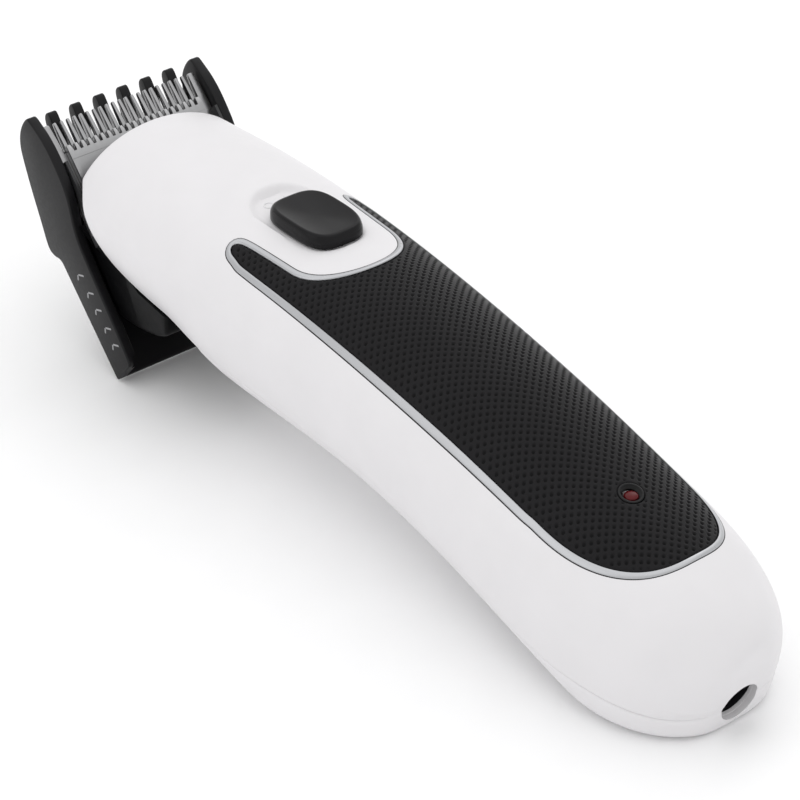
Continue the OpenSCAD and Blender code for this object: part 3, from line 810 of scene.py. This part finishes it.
def switch_button():
    """Thumb slide: rounded sides rising to a soft rim around a dished rest."""
    black = surface("switch_black", (0.006, 0.0056, 0.0064), 0.24, 0.35, 4, drift=0.12,
                    specular=0.16)
    floor = POCKET_Z + 0.3
    half_w, half_l = BUTTON_W / 2, BUTTON_L / 2
    levels = [(0.0, 0.0), (0.97, 0.0), (1.0, 0.06), (1.0, 0.24)]
    levels += [(1 - 0.1 * (1 - math.cos(a)), 0.24 + 0.68 * math.sin(a))
               for a in np.linspace(0.15, math.pi / 2, 10)]
    levels += [(0.89, 0.928), (0.87, 0.925)]
    levels += [(0.87 * r, 0.925 - 0.24 * (1 - r * r)) for r in np.linspace(0.97, 0, 24)]
    x, y = superellipse(1, 1, 3.3, 160)
    rings = []
    for share, height in levels:
        crown = 1 - 0.16 * np.abs(y * share) ** 3 * (height > 0.5)
        rings.append(np.stack([x * share * half_w, BUTTON_Y + y * share * half_l,
                               floor + height * BUTTON_H * crown], -1))
    points = np.stack(rings, 1)
    index = np.arange(points[..., 0].size).reshape(points.shape[:2])
    index = np.concatenate([index, index[:1]])
    button = mesh_object("switch_button", points, grid_faces(index))
    button = tidy_mesh(button, 50)
    stem = bar("switch_stem", (-1.9, BUTTON_Y - 4, 41.8), (1.9, BUTTON_Y + 4, floor + 0.6),
               edge=0.2)
    combine(button, [stem], "UNION")
    finish_piece(tidy_mesh(button, 50), black, "switch", "switch_button")


def switch_marks():
    """Generic off and on marks in the pocket ahead of the switch: a raised ring and bar."""
    white = surface("mark_white", (0.7, 0.7, 0.71), 0.4, 0.5, 6, drift=0.02)
    section_r = 0.16
    angle = np.linspace(0, 2 * math.pi, 16, endpoint=False)
    profile = [(0.95 + section_r * math.cos(a), section_r * 0.7 * math.sin(a)) for a in angle]
    ring = turned("switch_mark_off", profile + profile[:1], (-2.1, 96.6, POCKET_Z + 0.02),
                  segments=48)
    mark = bar("switch_mark_on", (1.9, 95.6, POCKET_Z - 0.3), (2.3, 97.6, POCKET_Z + 0.12),
               edge=0.1)
    for piece in (ring, mark):
        finish_piece(piece, white, "housing", slot_name="upper_shell")


# ---------------------------------------------------------------- blades

def toothed_plate(name, half, back, count, gap, root, reach, top, bottom, thin):
    """Blade with tapered teeth, thinned towards the tips, on a plate that reaches back."""
    edges = []
    for i in range(count):
        left = (i - count / 2) * TOOTH_PITCH
        start = -half if i == 0 else left + gap / 3
        end = half if i == count - 1 else left + TOOTH_PITCH - gap / 3
        edges.append((start, end))
    along = np.concatenate([[0], np.linspace(0.25, 0.85, 4), [0.95, 1.0]])
    points_top, points_bottom, faces = [], [], []

    def corner(x, u, share):
        lift = thin * share ** 1.5
        points_top.append(from_cut(x, u, top - lift))
        points_bottom.append(from_cut(x, u, bottom + 0.7 * lift))
        return len(points_top) - 1

    previous = None
    for start, end in edges:
        low = corner(start, root, 0)
        high = corner(end, root, 0)
        behind = [corner(start, back, 0), corner(end, back, 0)]
        faces.append((behind[0], behind[1], high, low))
        if previous:
            faces.append((previous[1], behind[0], low, previous[0]))
        previous = (high, behind[1])
        middle, spread = (start + end) / 2, (end - start) / 2
        last = (low, high)
        for share in along[1:]:
            narrow = spread * (1 - 0.3 * share ** 1.2) * (0.72 if share == 1 else 1)
            u = root + (reach - root) * share
            pair = (corner(middle - narrow, u, share), corner(middle + narrow, u, share))
            faces.append((last[0], last[1], pair[1], pair[0]))
            last = pair
    blade = thick(name, np.array(points_top), np.array(points_bottom), faces)
    tidy_mesh(blade, 30)
    bevel = blade.modifiers.new("edges", "BEVEL")
    bevel.width = 0.07 * MM
    bevel.segments = 2
    bevel.limit_method = "ANGLE"
    bevel.angle_limit = math.radians(40)
    return tidy_mesh(applied(blade), 35)


def blades():
    ground = surface("ground_steel", (0.36, 0.36, 0.365), 0.34, 0.16, 3, drift=0.04, metallic=1.0,
                     stretch=(9, 1, 1))
    fixed = toothed_plate("fixed_blade", 17.9, -18, 23, 1.05, -1.2, 5.2, -1.4, -2.9, 0.45)
    holes = [rod("hole", from_cut(s * 11, -15, 0), plane_out(), -4, 0, 1) for s in (-1, 1)]
    holes += [rod("sink", from_cut(s * 11, -15, 0), plane_out(), -3.5, -2.1, 1.9) for s in (-1, 1)]
    combine(fixed, holes, "DIFFERENCE")
    finish_piece(tidy_mesh(fixed, 35), ground, "housing", "fixed_blade")
    moving = toothed_plate("moving_blade", 15.75, -11.8, 21, 1.0, -1.5, 0.0, 0.0, -1.3, 0.35)
    groove = bar("groove", (-17, -3.15, -0.1), (17, -2.95, 0.5), from_cut, 0.05)
    combine(moving, [groove], "DIFFERENCE")
    finish_piece(tidy_mesh(moving, 35), ground, "cutter", "moving_blade")


def plane_out():
    return (0, -math.sin(CUT_ANGLE), math.cos(CUT_ANGLE))


# ---------------------------------------------------------------- comb

PRONG_SIDE = [(-18.4, COMB_FLOOR), (-17, -16.2), (-14.9, -17), (-10.5, -15.2), (-4.1, -11.4),
              (2.6, -7.4), (5.6, -6.2), (7.3, -5.4), (7.9, -4.4), (7.8, -3.4), (7.2, -3),
              (2, -3.7), (-12.5, -11), (-18.4, 1.6 + COMB_FLOOR)]
PRONG_PITCH = 5.5
PRONG_T = 2


def guide_comb():
    black = surface("comb_black", (0.006, 0.0058, 0.0066), 0.36, 0.22, 9, drift=0.1, specular=0.2)
    side = rounded_outline(COMB_SIDE, [0.6, 1.2] + [3.2] * (len(COMB_SIDE) - 3) + [1.2])
    walls = [plate("wall", side, tuple(sorted((s * COMB_IN, s * COMB_OUT))), from_cut, 0.55, 4)
             for s in (-1, 1)]
    prong_side = rounded_outline(PRONG_SIDE, 1.1)
    prongs = []
    for i in range(-3, 3):
        middle = (i + 0.5) * PRONG_PITCH
        sides = (middle - PRONG_T / 2, middle + PRONG_T / 2)
        prongs.append(plate("prong", prong_side, sides, from_cut, 0.6, 4))
    width = COMB_IN + 0.3
    floor_top = COMB_FLOOR + 1.6
    beams = [bar("floor", (-width, HEEL_U + 0.05, COMB_FLOOR), (width, -17.6, floor_top),
                 from_cut, 0.4),
             bar("beam", (-width, -17.2, -16.2), (width, -13.2, -14.6), from_cut, 0.4),
             bar("step", (-width, -18.6, -16), (width, -16.4, -13), from_cut, 0.4)]
    groove = bar("groove", (-19.2, HEEL_U - 2, -8.6), (19.2, -11, -6.4), from_cut, 0.15)
    comb = walls[0]
    comb.name = "guide_comb"
    combine(comb, [walls[1]] + beams + prongs, "UNION")
    combine(comb, [groove], "DIFFERENCE")
    finish_piece(tidy_mesh(comb), black, "comb", "guide_comb")
    comb_marks()


def comb_marks():
    """Printed length marks on both walls: a long and a short stroke for each setting."""
    grey = surface("mark_grey", (0.3, 0.3, 0.31), 0.5, 0.4, 5, drift=0.05)
    settings = [(135.9, 18.7), (132.8, 16.1), (130.4, 13.4), (127.5, 10.6), (125.2, 7.9)]
    pieces = []
    for side in (-1, 1):
        levels = tuple(sorted((side * (COMB_OUT - 0.1), side * (COMB_OUT + 0.05))))
        for y, z in settings:
            long_mark = [(y - 0.25, z), (y - 0.25, z + 0.4), (y - 2.05, z + 0.95),
                         (y - 2.2, z + 0.6)]
            short_mark = [(y - 0.25, z), (y + 0.15, z), (y + 0.15, z - 1.1),
                          (y - 0.25, z - 1.1)]
            for shape in (long_mark, short_mark):
                pieces.append(plate("mark", shape, levels, side_point, 0.03, 1))
    bpy.context.view_layer.update()
    marks = pieces[0]
    marks.name = "comb_marks"
    combine(marks, pieces[1:], "UNION")
    finish_piece(tidy_mesh(marks), grey, "comb", slot_name="guide_comb")


# ---------------------------------------------------------------- pieces kept from the CAD

def internals():
    """Materials of the inner parts, which keep their CAD shapes."""
    steel = surface("bright_steel", (0.6, 0.6, 0.61), 0.25, 0.3, 4, metallic=1.0, stretch=(1, 6, 1))
    spring = surface("spring_steel", (0.5, 0.48, 0.42), 0.3, 0.2, 3, metallic=1.0)
    screws = surface("screw_steel", (0.5, 0.5, 0.51), 0.32, 0.2, 5, metallic=1.0)
    white = surface("switch_nylon", (0.72, 0.69, 0.58), 0.45, 0.4, 8)
    black = surface("inner_black", (0.02, 0.02, 0.021), 0.4, 0.3, 8, drift=0.1)
    grey = surface("motor_mount_grey", (0.11, 0.11, 0.12), 0.45, 0.4, 10, drift=0.1)
    cradle = surface("cradle_grey", (0.32, 0.32, 0.34), 0.5, 0.4, 10)
    wrap = surface("cell_wrap", (0.05, 0.22, 0.1), 0.3, 2.5, 25, coat=0.4)
    nickel = surface("nickel_strip", (0.62, 0.6, 0.55), 0.35, 0.5, 8, metallic=1.0)
    wire = surface("lead_red", (0.5, 0.03, 0.03), 0.4, 0.5, 8)
    led = surface("led_resin", (0.75, 0.72, 0.62), 0.3, 0.4, 4)
    looks = {
        "circuit_board": board_surface(), "led_body": led, "switch_body": grey,
        "switch_slider": white, "dc_jack": black, "cell_left": wrap, "cell_right": wrap,
        "cell_tabs": nickel, "cell_cradle": cradle, "motor_can": steel, "motor_cap": black,
        "motor_bracket": grey, "motor_leads": wire, "motor_shaft": steel, "eccentric": white,
        "drive_yoke": black, "blade_carrier": black, "blade_screws": screws,
        "blade_spring": spring, "comb_detents": spring, "housing_screws": screws}
    for name, material in looks.items():
        paint(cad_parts[name], material)


# ---------------------------------------------------------------- studio

def area_light(name, at, target, size, watts, tint=(1, 1, 1)):
    data = bpy.data.lights.new(name, "AREA")
    data.shape = "RECTANGLE"
    data.size, data.size_y = size
    data.energy = watts
    data.color = tint
    light = bpy.data.objects.new(name, data)
    bpy.context.scene.collection.objects.link(light)
    aim = Vector(target) - Vector(at)
    light.matrix_world = Matrix.Translation(at) @ aim.to_track_quat("-Z", "Y").to_matrix().to_4x4()
    return light


def studio():
    """Pale floor under soft light from above and both sides."""
    world = bpy.data.worlds.new("studio")
    bpy.context.scene.world = world
    world.use_nodes = True
    sky = next(n for n in world.node_tree.nodes if n.type == "BACKGROUND")
    sky.inputs["Color"].default_value = (1, 1, 1, 1)
    sky.inputs["Strength"].default_value = 0.94
    area_light("top", (0.05, 0.12, 0.6), (0, 0, 0.02), (0.9, 0.9), 0.85)
    area_light("left", (-0.5, 0.1, 0.3), (0, 0, 0.03), (0.35, 0.5), 0.25)
    area_light("right", (0.45, 0.2, 0.35), (0, 0.02, 0.03), (0.3, 0.6), 0.3)
    half = 3.0
    corners = [(-half, -half, 0), (half, -half, 0), (half, half, 0), (-half, half, 0)]
    mesh = bpy.data.meshes.new("floor")
    mesh.from_pydata(corners, [], [(0, 1, 2, 3)])
    floor = bpy.data.objects.new("floor", mesh)
    bpy.context.scene.collection.objects.link(floor)
    paint(floor, surface("floor_white", (0.96, 0.96, 0.963), 0.6, 3, 5, drift=0.005))
    bpy.context.scene.view_settings.view_transform = "Standard"


def camera():
    azimuth, elevation, roll = (math.radians(a) for a in (-38.2596, 33.8622, -0.8823))
    right = np.array([math.cos(azimuth), math.sin(azimuth), 0])
    back = np.array([math.sin(azimuth) * math.cos(elevation),
                     -math.cos(azimuth) * math.cos(elevation), math.sin(elevation)])
    up = np.cross(back, right)
    columns = (right * math.cos(roll) + up * math.sin(roll),
               up * math.cos(roll) - right * math.sin(roll), back)
    data = bpy.data.cameras.new("camera")
    data.lens = 135
    data.sensor_width = 36
    data.clip_start = 0.01
    view = bpy.data.objects.new("camera", data)
    bpy.context.scene.collection.objects.link(view)
    turn = Matrix([list(row) for row in np.array(columns).T]).to_4x4()
    view.matrix_world = Matrix.Translation((-0.279303, -0.354254, 0.321952)) @ turn
    bpy.context.scene.camera = view


build_shells()
head_cover()
grip_pad()
trim_ring()
indicator()
switch_button()
switch_marks()
blades()
guide_comb()
internals()
studio()
camera()
